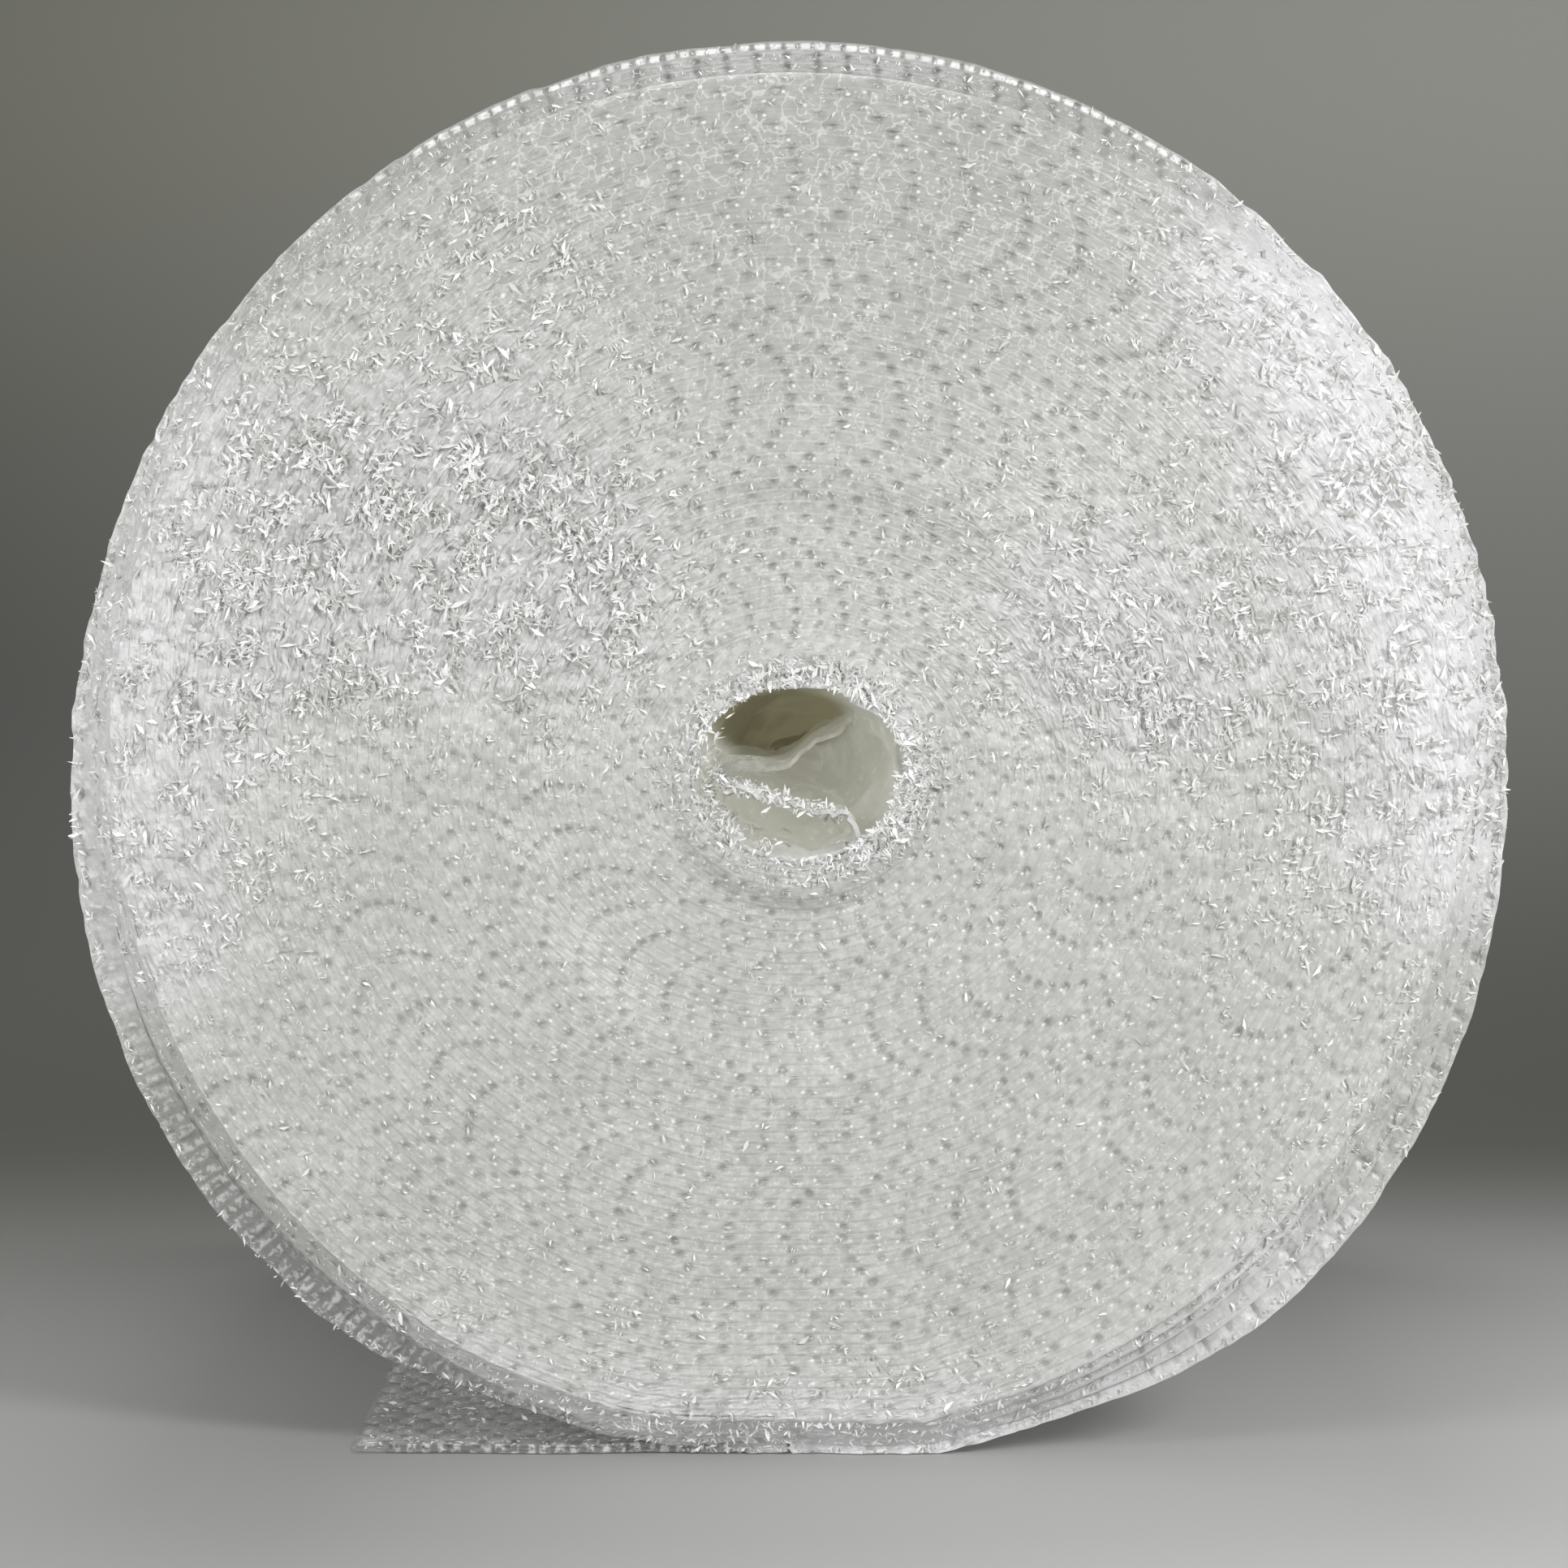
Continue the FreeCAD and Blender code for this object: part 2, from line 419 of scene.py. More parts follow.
def bubble_shade_and_glints(finish, along, across, wander, top):
    """Painted shade in the cut bubbles' hollows, soft and dark at each half repeat, and painted
    glints beside them.
    """
    whole = (along + 0.5).math("FLOOR")
    half = along.math("FLOOR")
    offset = (along - whole) * REPEAT_MM
    half_offset = (along - half - 0.5) * REPEAT_MM
    sideways = (across - 0.48) * (SPACING * 1000)

    def spot(shift_along, shift_across, offset_mm, long, wide):
        first = ((offset_mm - shift_along + wander * 1.4) / long) ** 2.0
        second = ((sideways - shift_across + wander * 0.8) / wide) ** 2.0
        return finish.step((first + second).math("SQRT"), 1.0, 0.25)

    strength = finish.chance(whole) * 0.65 + 0.35
    half_chance = finish.chance(half + 0.37)
    glint_chance = finish.chance(whole + 0.13)
    stray_along = (finish.chance(whole + 0.53) - 0.5) * 1.5
    stray_across = (finish.chance(whole + 0.77) - 0.5) * 0.9
    strong = spot(stray_along, stray_across, offset, top * 1.1 + 3.1, top * 0.8 + 2.2)
    faint = spot(stray_across, stray_across, half_offset, 2.5, 1.7)
    glint = spot(stray_along + 2.0, stray_across - 0.6, offset, 1.0, 0.8)
    half_glint = spot(-1.8, 0.5, half_offset, 0.9, 0.6)
    shaded_spots = strong * strength + faint * finish.step(half_chance, 0.1, 1.0) * 0.8
    glints = glint * finish.step(glint_chance, 0.35, 0.5)
    return shaded_spots, glints + half_glint * finish.step(half_chance, 0.5, 0.65)


def cut_edge_finish():
    """The end faces: milky cut film edges, with painted shade in the cut bubble at each repeat."""
    finish = Finish("cut_film_edges", Roughness=0.40)
    along, across = finish.web()
    crumple = finish.stored("crumple")
    frost = finish.stored("frost")
    shoulder = finish.stored("shoulder")
    band = finish.stored("band")
    hanging = finish.stored("hanging")
    wander = finish.noise(260.0) - 0.5
    height = finish.axis(finish.place(), 2)
    upper = finish.step(height, HOLE_MIDDLE - 0.06, HOLE_MIDDLE + 0.10)
    # top rises towards the face's top, which gets painted shade there
    top = finish.step(height, HOLE_MIDDLE + 0.06, HOLE_MIDDLE + 0.22)
    shaded_spots, glints = bubble_shade_and_glints(finish, along, across, wander, top)
    seam = finish.step(across.from_half(), 0.36, 0.54)
    patch = finish.step(finish.noise(24.0, 3.0), 0.38, 0.66)
    mottle = finish.step(finish.noise(330.0, 3.0), 0.40, 0.72)
    fleck = finish.step(finish.noise(640.0), 0.60, 0.72)
    crinkles = finish.step(finish.noise(170.0, 1.0).from_half(), 0.035, 0.0)
    bars = finish.step((along * 2.0 + wander * 0.1).math("FRACT").from_half(), 0.30, 0.48)
    # Beads: painted highlights on the bubbles along the cut edge, surest where open bubbles show
    bead_run = along * BEADS_PER_REPEAT
    uneven = (finish.noise(210.0) - 0.5) * 0.7
    beads = finish.step(bead_run.math("FRACT").from_half() + uneven, 0.42, 0.22)
    bead_across = finish.step(across.from_half(), 0.42, 0.12)
    bead_chance = finish.chance(bead_run.math("FLOOR") + 0.71)
    ragged = finish.step(finish.noise(230.0) + shoulder * 0.5, 0.62, 0.90)
    bright = beads * bead_across * ragged * finish.step(bead_chance + shoulder, 0.6, 1.3)
    streaks = finish.step(finish.noise(420.0), 0.40, 0.62)
    # How strongly painted shade darkens each cut bubble's hollow: more in the upper half, less near
    # the top, in crumples and in frost
    pit = shaded_spots * (0.62 + upper * 0.18 - top * 0.25 - crumple * 0.48) * (1.0 - frost * 0.8)

    colour = finish.mix(patch * 0.5, FILM_FACE, FILM_SHADE)
    colour = finish.mix(mottle * 0.28, colour, FILM_WHITE)
    # Painted shade at the seams between turns
    colour = finish.mix(seam * 0.05, colour, FILM_RECESS_SHADE)
    # Painted shade: the face darker towards its top
    colour = finish.mix(top * 0.6, colour, FILM_TOP_SHADE)
    colour = finish.mix(crinkles * (upper * 0.22 + top * 0.20), colour, FILM_WHITE)
    colour = finish.mix(frost, colour, FILM_FROST)
    # Painted shade in the cut bubbles' hollows
    colour = finish.mix(pit, colour, FILM_PIT_SHADE)
    colour = finish.mix(fleck * 0.45, colour, FILM_WHITE)
    # Painted glints beside the bubbles
    colour = finish.mix(glints * 0.9, colour, FILM_WHITE)
    colour = finish.mix(band * 0.75, colour, finish.mix(bars, FILM_BAND, FILM_BAR))
    # Painted shade in the open bubbles of the last turns
    colour = finish.mix(finish.step(shoulder, 0.3, 1.0) * 0.70, colour, FILM_RECESS_SHADE)
    # Painted highlights of the beads
    colour = finish.mix(bright, colour, FILM_WHITE)
    # The hanging film's beads get painted highlights too, broken by streaks
    hanging_film = finish.mix(beads * streaks * 0.55, FILM_HANGING, FILM_WHITE)
    finish.set("Base Color", finish.mix(hanging, colour, hanging_film))
    finish.bump(finish.facets(330.0) * (crumple * 0.6 + 0.16), 1.0, 0.7)
    return finish.material


def painted_glint_finish():
    """Sharp shards of film, painted white as highlights, with a faint painted glow as emission."""
    finish = Finish("painted_glint_film", Roughness=0.22, Emission_Strength=1.0)
    shade = finish.stored("shade")
    finish.set("Base Color", finish.mix(shade, FILM_WHITE, FILM_SHADE))
    # Painted glow, strongest on the whitest shards
    finish.set("Emission Color", finish.mix(shade, grey(0.16), grey(0.0)))
    return finish.material


def outer_film_finish(name, opacity, level, ringed=0.75, barred=0.0, flecked=0.0, glow=0.0):
    """The web's smooth outer film: soft rings of its bubbles, bars of its folds, bright flecks."""
    finish = Finish(name, Roughness=0.16, Alpha=opacity, Emission_Strength=glow)
    ring = finish.stored("ring")
    crease = finish.step(finish.creases(60.0), 0.05, 0.0)
    patch = finish.step(finish.noise(18.0, 3.0), 0.35, 0.7)
    plain = finish.mix(patch * 0.4, grey(level, 0.02), grey(level * 0.7, 0.03))
    colour = finish.mix(ring * ringed, plain, FILM_WHITE)
    colour = finish.mix(crease * 0.35, colour, FILM_WHITE)
    if barred:
        along, across = finish.web()
        wave = (along * BARS_PER_REPEAT).math("FRACT").from_half()
        bar = finish.step(wave + (finish.noise(150.0) - 0.5) * 0.6, 0.12, 0.34)
        colour = finish.mix(bar * barred, colour, FILM_WHITE)
    if flecked:
        fleck = finish.step(finish.noise(330.0), 0.56, 0.66)
        colour = finish.mix(fleck * flecked, colour, FILM_WHITE)
    finish.set("Base Color", colour)
    # Painted glow: emission of the film's own colour, standing in for light let through it
    if glow:
        finish.set("Emission Color", colour)
    finish.bump(finish.facets(55.0) * 0.25 + finish.noise(90.0) * 0.0008, 1.0, 0.6)
    return finish.material


# Film in the hole, and its painted light: a glow as of light let through near the face, painted dusk
# further in
HOLE_FILM = grey(0.44, 0.040)
HOLE_FOLD = grey(0.34, 0.055)
FILM_LIP = grey(0.62, 0.020)
HOLE_DEEP_SHADE = (0.150, 0.142, 0.090, 1.0)
HOLE_DIM = grey(0.03)
HOLE_GLOW = (0.205, 0.205, 0.176, 1.0)
HOLE_DUSK = (0.110, 0.102, 0.062, 1.0)
HOLE_NIGHT = (0.062, 0.056, 0.033, 1.0)


def hole_film_finish(name, creased):
    """Crumpled film in the hole, with painted light as if let through the turns round it, and painted
    shade deep in.
    """
    finish = Finish(name, Roughness=0.45, Emission_Strength=1.0)
    lit = finish.stored("lit")
    inside = finish.stored("inside")
    frost = finish.stored("frost")
    crease = finish.step(finish.noise(190.0, 4.0), 0.56, 0.70)
    patch = finish.step(finish.noise(70.0, 3.0), 0.35, 0.65)
    fold = finish.step(finish.noise(34.0), 0.40, 0.60)
    film = finish.mix(patch, HOLE_FILM, HOLE_FOLD)
    film = finish.mix(frost, film, FILM_LIP)
    film = finish.mix(crease * (creased + frost * 0.4), film, FILM_WHITE)
    # Painted shade where lit is low, deep in the hole
    finish.set("Base Color", finish.mix(lit, HOLE_DEEP_SHADE, film))
    dusk = finish.mix(fold, HOLE_DUSK, HOLE_NIGHT)
    # Painted glow as emission: dusk where lit is low, a brighter glow a little way in from the face
    finish.set("Emission Color", finish.mix(lit, dusk, finish.mix(inside, HOLE_DIM, HOLE_GLOW)))
    finish.bump(finish.facets(160.0) * 0.4 + finish.noise(420.0) * 0.0006, 1.0, 0.8)
    return finish.material


# Where the end face is crumpled most: place across and above the hole, reach, strength
CRUMPLED_PATCHES = [
    (-0.120, 0.095, 0.060, 1.0),
    (-0.165, 0.060, 0.050, 0.7),
    (-0.075, 0.060, 0.045, 0.9),
    (-0.095, 0.180, 0.045, 0.5),
    (0.095, 0.055, 0.050, 0.8),
    (0.135, 0.020, 0.040, 0.6),
    (0.210, 0.100, 0.055, 0.9),
    (0.225, 0.010, 0.050, 0.9),
    (0.190, -0.050, 0.040, 0.4),
    (0.160, 0.165, 0.050, 0.5),
    (-0.220, 0.030, 0.045, 0.8),
    (-0.215, -0.040, 0.045, 0.6),
    (-0.200, 0.110, 0.045, 0.6),
    (-0.060, -0.232, 0.032, 0.5),
    (0.000, -0.240, 0.032, 0.6),
    (0.060, -0.232, 0.032, 0.5),
    (-0.130, -0.195, 0.030, 0.4),
    (0.175, -0.165, 0.030, 0.4),
    (0.212, -0.115, 0.028, 0.5),
]

# Where the end face is frosted white by crushed folds: place, reach, strength
FROSTED_PATCHES = [
    (0.165, 0.175, 0.032, 0.55),
    (0.195, 0.130, 0.034, 0.65),
    (0.215, 0.080, 0.032, 0.70),
    (0.228, 0.025, 0.030, 0.65),
    (0.232, -0.030, 0.030, 0.45),
    (0.110, 0.050, 0.040, 0.12),
    (-0.232, 0.050, 0.030, 0.35),
    (-0.236, -0.010, 0.030, 0.35),
    (-0.228, -0.060, 0.026, 0.30),
    (-0.215, 0.110, 0.028, 0.25),
    (-0.055, -0.238, 0.026, 0.45),
    (0.000, -0.244, 0.026, 0.50),
    (0.055, -0.240, 0.026, 0.45),
    (-0.110, -0.218, 0.024, 0.35),
    (0.110, -0.216, 0.024, 0.30),
    (0.165, -0.178, 0.024, 0.30),
]


def patchwork(patches, x, z):
    """Sum of soft round patches, placed from the middle of the hole."""
    total = np.zeros(len(x))
    for patch_x, patch_z, reach, strength in patches:
        distance = np.hypot(x - HOLE_SHIFT - patch_x, z - HOLE_MIDDLE - patch_z) / reach
        total += strength * np.exp(-distance ** 2)
    return total


def hole_ring(x, z):
    """The crinkled lip round the hole, strongest at its right and top, from 0 to about 1."""
    across = x - HOLE_SHIFT
    above = z - HOLE_MIDDLE
    from_hole = np.hypot(across * HOLE_HEIGHT / HOLE_WIDTH, above) - HOLE_HEIGHT / 2
    ring = np.exp(-((from_hole - 0.004) / 0.006) ** 2)
    return ring * np.clip(0.55 + 0.35 * across / 0.035 + 0.25 * above / 0.030, 0.15, 1)


def crumple_share(x, z):
    """How crumpled the end face is at a place, from 0 to about 1."""
    return np.clip(0.06 + patchwork(CRUMPLED_PATCHES, x, z) + hole_ring(x, z), 0, 1.2)


def frost_share(x, z):
    """How white and frosted the end face is at a place."""
    crushed = 0.24 * np.clip(patchwork(CRUMPLED_PATCHES, x, z), 0, 1)
    return np.clip(patchwork(FROSTED_PATCHES, x, z) + crushed + hole_ring(x, z) * 0.55, 0, 0.80)


def shoulder_depth(turn, across=0.5):
    """How far the web's cut edge lies behind the end face: the last turns slope away."""
    stepped = swell((turn % 1.0) * 360, STEPPED_SPAN)
    place = turn + 0.5 + (across - 0.5) * (1 - stepped)
    return SHOULDER_STEP * np.clip(place - (TURNS - SHOULDER_TURNS), 0, SHOULDER_TURNS)


# How plainly the last turn's open bubbles show, darkened with painted shade, by degrees past the
# floor contact
BARE_ANGLES = [0, 15, 60, 90, 135, 155, 205, 225, 290, 315, 345, 360]
BARE_SHARES = [0.1, 0.4, 0.4, 0.15, 0.3, 1.0, 1.0, 0.25, 0.15, 0.45, 0.3, 0.1]


def bare_bubbles(turn):
    """Where the last turn's open bubbles show, and the one before at lower right: painted shade
    there.
    """
    angle = (turn % 1.0) * 360
    last = np.interp(angle, BARE_ANGLES, BARE_SHARES)
    before = 0.40 * swell(angle, BARE_BEFORE_SPAN)
    return np.where(turn > TURNS - 1, last, np.where(turn > TURNS - 2, before, 0.0))


def smooth_band(turn):
    """Where the turns before the last lie smooth and half clear, round the top."""
    outer = (turn > TURNS - SHOULDER_TURNS) & (turn <= TURNS - 1)
    return np.where(outer, swell((turn % 1.0) * 360, BAND_SPAN), 0.0)


def rim_lumps(turn):
    """How far the last turn's soft edge is pushed in, in small lumps, away from the floor."""
    angle = (turn % 1.0) * math.tau
    places = points_at(np.cos(angle), np.sin(angle), 0) * ROLL_RADIUS
    large = np.clip(grain(places, 0.020, 71) + 0.10, 0, 1)
    small = np.clip(grain(places, 0.007, 72), 0, 1)
    kinked = 1 + 1.4 * swell((turn % 1.0) * 360, KINKED_SPAN)
    off_floor = rise(1 - np.cos(angle), 0.03, 0.12)
    return np.where(turn > TURNS - 1, (0.0009 * large * kinked + 0.0007 * small) * off_floor, 0.0)


# The dish in the end face round the hole, and how far from the hole's middle it starts and ends
DISH_DEPTH = 0.004
DISH_INNER_EDGE = (0.040, 0.050)
DISH_OUTER_EDGE = (0.085, 0.110)
FACE_SEED = 200


def face_relief(x, z, side):
    """How far the end face lies behind flat: its soft waves, and the dish round the hole."""
    seed = FACE_SEED + side
    places = points_at(x, 0, z)
    waves = grain(places, 0.045, seed) * 0.0014 + grain(places, 0.014, seed + 1) * 0.0005
    distance = np.hypot(x - HOLE_SHIFT, z - HOLE_MIDDLE)
    dish = DISH_DEPTH * rise(distance, *DISH_INNER_EDGE) * (1 - rise(distance, *DISH_OUTER_EDGE))
    return waves + dish


# A turn's cut edge: places across it, how far each lies back, and how a bubble dents it there
STRIP_ACROSS = np.array([-0.04, 0.16, 0.38, 0.60, 0.80, 1.0])
STRIP_DEPTH = np.array([0.55, 0.38, 0.32, 0.28, 0.22, 0.42]) * 1e-3
STRIP_PIT = np.array([0.0, 0.5, 1.0, 1.0, 0.3, 0.0])
PIT_DEPTH = 0.0011
HOLE_LIP_DEPTH = 0.003
FOLD_SEED = 303
LARGE_FOLD_SEED = 307

# How much of the slack turns' gaps the thicker edge fills, at the left and right
LEFT_GAP_FILLED = 0.78
RIGHT_GAP_FILLED = 0.92

# Places of the cut edge's corners along each repeat, for the front and the plainer back
FINE_STATIONS = np.array([0.0, 0.06, 0.14, 0.25, 0.37, 0.45, 0.54, 0.64, 0.77, 0.91])
PLAIN_STATIONS = np.array([0.0, 0.12, 0.3, 0.5, 0.68, 0.88])


def bubble_pits(repeat, first, last, draw):
    """How deep the bubbles, cut open at each half repeat, dent the cut edge: from 0 to about 1."""
    nearest = np.rint(repeat * 2) / 2
    sizes = draw.uniform(0.35, 1.15, 2 * (last - first) + 3)
    size = sizes[np.rint(nearest * 2).astype(int) - 2 * first]
    whole = np.abs(nearest - np.rint(nearest)) < 0.1
    near = np.exp(-((repeat - nearest) * REPEAT_MM / 1.6) ** 2)
    return near * size * np.where(whole, 1.0, 0.45)


def gap_filled(turn):
    """How much of a slack turn's gap its thicker edge fills."""
    left = LEFT_GAP_FILLED + (1 - LEFT_GAP_FILLED) * rise((turn % 1.0) * 360, 58, 82)
    return np.where(turn % 1.0 > 0.5, RIGHT_GAP_FILLED, left)


def end_face_strip(name, first_turn, last_turn, stations, side, material, seed):
    """Cut edge of the web, wound from one turn to another; side is -1 for the viewed face."""
    first = math.floor(repeat_of_turn(first_turn))
    last = math.floor(repeat_of_turn(last_turn))
    repeats = (np.arange(first, last)[:, None] + stations[None, :]).ravel()
    repeats = np.append(repeats, last)
    mesh, step_along, step_across = flat_grid(name, len(repeats) - 1, len(STRIP_ACROSS) - 1)
    repeat = repeats[step_along]
    turn = turn_of_repeat(repeat)
    past_roll = np.minimum(np.maximum(turn - TURNS, 0) * math.tau * ROLL_RADIUS, TAIL_LENGTH)
    turn = np.minimum(turn, LAST_PLACE)
    angle = (turn % 1.0) * 360
    across = STRIP_ACROSS[step_across]
    thicker = (1 - across) * slack(turn) * gap_filled(turn)
    x, z = wound_places(turn, across * SPACING - thicker - across * rim_lumps(turn))
    x -= past_roll
    z = np.where(past_roll > 0, across * WEB, z)
    crumple = crumple_share(x, z)
    ring = hole_ring(x, z)
    under = rise(np.cos(np.radians(angle)), 0.45, 0.95) * rise(turn, TURNS - 3.6, TURNS - 2.6)
    frost = np.clip(frost_share(x, z) + 0.32 * under, 0, 0.8) * (1 - rise(past_roll, 0.0, 0.03))

    draw = np.random.default_rng(seed)
    pit = bubble_pits(repeat, first, last, draw) * STRIP_PIT[step_across]
    depth = STRIP_DEPTH[step_across] * (0.8 + 0.6 * crumple) + pit * PIT_DEPTH
    depth += shoulder_depth(turn, across) + face_relief(x, z, side)
    rim = np.hypot((x - HOLE_SHIFT) / HOLE_WIDTH, (z - HOLE_MIDDLE) / HOLE_HEIGHT) * 2
    depth += HOLE_LIP_DEPTH * rise(1.10 - rim, 0, 0.10)
    places = points_at(x, 0, z)
    folds = grain_vectors(places, 0.0045, FOLD_SEED + side)
    large_share = (frost * 1.8 + ring * 1.5)[:, None]
    folds += grain_vectors(places, 0.0080, LARGE_FOLD_SEED + side) * large_share
    joined = (step_across == 0) | (step_across == len(STRIP_ACROSS) - 1)
    crackle = draw.uniform(-1, 1, (len(x), 3)) * np.where(joined, 0.15, 1.0)[:, None]
    amount = (0.06 + 0.94 * crumple)[:, None]
    shift = folds * 0.0009 * amount + crackle * (0.00004 + 0.00034 * amount ** 1.5)
    y = side * (HALF_WIDTH - depth - shift[:, 1] * 1.3)
    points = points_at(x + shift[:, 0], y, np.maximum(z + shift[:, 2], 0))

    place_points(mesh, points, BACK * side)
    web_uv(mesh, repeat, across)
    loose = 0.85 * (swell(angle, HANGING_SPAN) * (turn > TURNS - 1)) ** 0.5
    hanging = np.where(past_roll > 0, rise(past_roll, 0.0, 0.04), loose)
    corner_values(mesh, crumple=crumple, frost=frost, shoulder=bare_bubbles(turn),
                  band=smooth_band(turn), hanging=hanging)
    return finish_piece(mesh, material)


# A shard of film: its corners along it, and its width there as a share of the widest
SHARD_ALONG = np.array([-0.5, -0.12, 0.5])
SHARD_TAPER = np.array([0.30, 1.0, 0.06])

# Places tried for each shard wanted on an end face
SHARD_TRIES = 14


def shards(name, centres, across, up, sizes, draw, material):
    """A flat shard at each centre, lying along the two directions, tilted and turned at random."""
    length, width = sizes
    corners = len(SHARD_TAPER)
    count = len(centres)
    heading = draw.uniform(0, math.tau, count)
    roll = draw.uniform(-0.8, 0.8, count)
    pitch = draw.uniform(-0.35, 0.35, count)
    skew = draw.uniform(-0.35, 0.35, count)
    shade = draw.uniform(0, 1, count)
    mesh, step_along, step_across = flat_grid(name, count * corners - 1, 1, gap=corners)
    which = step_along // corners
    corner = step_along % corners
    run = SHARD_ALONG[corner] * length[which]
    edge = (step_across * 2 - 1) * width[which] / 2 * SHARD_TAPER[corner]
    sway = edge + np.where(corner == 1, skew[which] * width[which], 0)
    cosine, sine = np.cos(heading[which]), np.sin(heading[which])
    points = centres[which] + np.outer(run * cosine - sway * sine, across)
    points += np.outer(run * sine + sway * cosine, up)
    points += np.outer(edge * roll[which] + run * pitch[which], np.cross(across, up))
    points[:, 2] = np.maximum(points[:, 2], 0.0003)
    place_points(mesh, points, np.cross(across, up))
    corner_values(mesh, shade=shade[which])
    return finish_piece(mesh, material)


def shard_sizes(draw, count, usual, lengths, slimness, widths, grown=1.0):
    """Lengths and widths, in metres: usual is the mean and spread of the length's logarithm."""
    length = np.clip(np.exp(draw.normal(*usual, count)) * grown, *lengths) * 1e-3
    return length, np.clip(length * draw.uniform(*slimness, count), *widths)


def film_shards(name, count, side, material, seed):
    """Small sharp shards of film on an end face, most where it is crumpled."""
    draw = np.random.default_rng(seed)
    tries = SHARD_TRIES * count
    radius = np.sqrt(draw.uniform((HOLE_RADIUS - 0.001) ** 2, (ROLL_RADIUS - 0.003) ** 2, tries))
    turn = (radius - HOLE_RADIUS) / SPACING
    x, z = wound_places(turn, draw.uniform(0.1, 0.9, tries) * WEB)
    crumple = crumple_share(x, z)
    ring = hole_ring(x, z)
    frost = patchwork(FROSTED_PATCHES, x, z)
    clumps = grain(points_at(x, 0, z), 0.006, seed + 1)
    clumped = np.clip(0.62 + 2.0 * clumps, 0.05, 2)
    wanted = (0.10 + crumple ** 1.2 * (1 - 0.8 * frost)) * clumped
    wanted += 6.0 * ring + 0.5 * rise(turn, TURNS - 3.6, TURNS - 2.8)
    chosen = np.flatnonzero(draw.uniform(0, 2.6, tries) < wanted)[:count]
    turn, x, z = turn[chosen], x[chosen], z[chosen]
    crumple, ring, frost = crumple[chosen], ring[chosen], frost[chosen]
    count = len(chosen)
    grown = 0.60 + 0.75 * crumple + 0.40 * ring + 0.20 * frost
    sizes = shard_sizes(draw, count, (0.70, 0.40), (0.8, 6.5), (0.12, 0.36), (0.28e-3, 1.8e-3), grown)
    depth = shoulder_depth(turn) + face_relief(x, z, side) - draw.uniform(0.1, 0.9, count) * 1e-3
    centres = points_at(x, side * (HALF_WIDTH - depth), z)
    return shards(name, centres, np.array([-side, 0, 0]), UP, sizes, draw, material)


def tail_shards(material):
    """Flecks of crushed film on the free end, painted bright as highlights."""
    draw = np.random.default_rng(121)
    count = 2600
    x = -draw.uniform(0.045, TAIL_LENGTH - 0.003, count)
    y = (draw.uniform(0, 1, count) ** 1.5 * 2 - 1) * (LAST_HALF_WIDTH - 0.002)
    centres = points_at(x, y, draw.uniform(0.0010, 0.0028, count))
    sizes = shard_sizes(draw, count, (0.60, 0.45), (0.8, 4.0), (0.15, 0.50), (0.3e-3, 1.4e-3))
    return shards("tail_shards", centres, RIGHT, BACK, sizes, draw, material)


def away_from_axis(centres):
    out = centres - np.array([0, 0, AXIS_HEIGHT])
    out[:, 1] = 0
    return out


def film_sag(places):
    """How far the outer film dips between and over its bubbles."""
    return grain(places, 0.06, 5) * 0.0008 + grain(places, 0.02, 6) * 0.0005 - 0.0012


def wound_film(name, first_turn, last_turn, material):
    """A stretch of the outer turns' film seen from outside, as wide as each turn is."""
    steps_per_turn = 220
    across_steps = 36
    steps = round((last_turn - first_turn) * steps_per_turn)
    mesh, step_along, step_across = flat_grid(name, steps, across_steps)
    turn = first_turn + (last_turn - first_turn) * step_along / steps
    turn = np.minimum(turn, last_turn - 1e-4)
    side = step_across / across_steps * 2 - 1
    y = side * (HALF_WIDTH - shoulder_depth(turn, 1.0) - 0.0004)
    x, z = wound_places(turn, np.full(len(turn), WEB))
    x, z = wound_places(turn, WEB + film_sag(points_at(x, y, z)) - rim_lumps(turn))
    place_points(mesh, points_at(x, y, np.maximum(z, 0)), away_from_axis)
    web_uv(mesh, repeat_of_turn(turn), side)
    corner_values(mesh, ring=np.zeros(len(x)))
    return finish_piece(mesh, material, smooth=True)


def bubble_sheet(name, length, width, height, sides, rings):
    """A flat sheet of bubbles in staggered rows: along X, across Y, domes up in Z."""
    row_pitch = BUBBLE_PITCH * math.sqrt(3) / 2
    bm = bmesh.new()
    for row in range(2):
        made = bmesh.ops.create_circle(bm, cap_ends=True, segments=sides, radius=BUBBLE_RADIUS)
        shift = Vector((row * BUBBLE_PITCH / 2, row * row_pitch, 0))
        bmesh.ops.translate(bm, verts=made["verts"], vec=shift)
    caps = list(bm.faces)
    angles = [step / (rings + 1) * math.pi / 2 for step in range(rings + 1)]
    for low, high in zip(angles, angles[1:]):
        inwards = BUBBLE_RADIUS * (math.cos(low) - math.cos(high))
        upwards = height * (math.sin(high) - math.sin(low))
        bmesh.ops.inset_individual(bm, faces=caps, thickness=inwards, depth=upwards)
    bmesh.ops.poke(bm, faces=caps, offset=height * 0.08)
    mesh = bpy.data.meshes.new(name + "_pair")
    bm.to_mesh(mesh)
    bm.free()
    pair = add_object(name + "_pair", mesh)
    columns = (BUBBLE_PITCH, 0, 0), int(length / BUBBLE_PITCH)
    rows = (0, 2 * row_pitch, 0), int(width / (2 * row_pitch))
    for step, count in (columns, rows):
        repeated = pair.modifiers.new("repeated", "ARRAY")
        repeated.use_relative_offset = False
        repeated.use_constant_offset = True
        repeated.constant_offset_displace = step
        repeated.count = count
    shaped = pair.evaluated_get(bpy.context.evaluated_depsgraph_get())
    sheet = bpy.data.meshes.new_from_object(shaped)
    sheet.name = name
    bpy.data.objects.remove(pair)
    return sheet


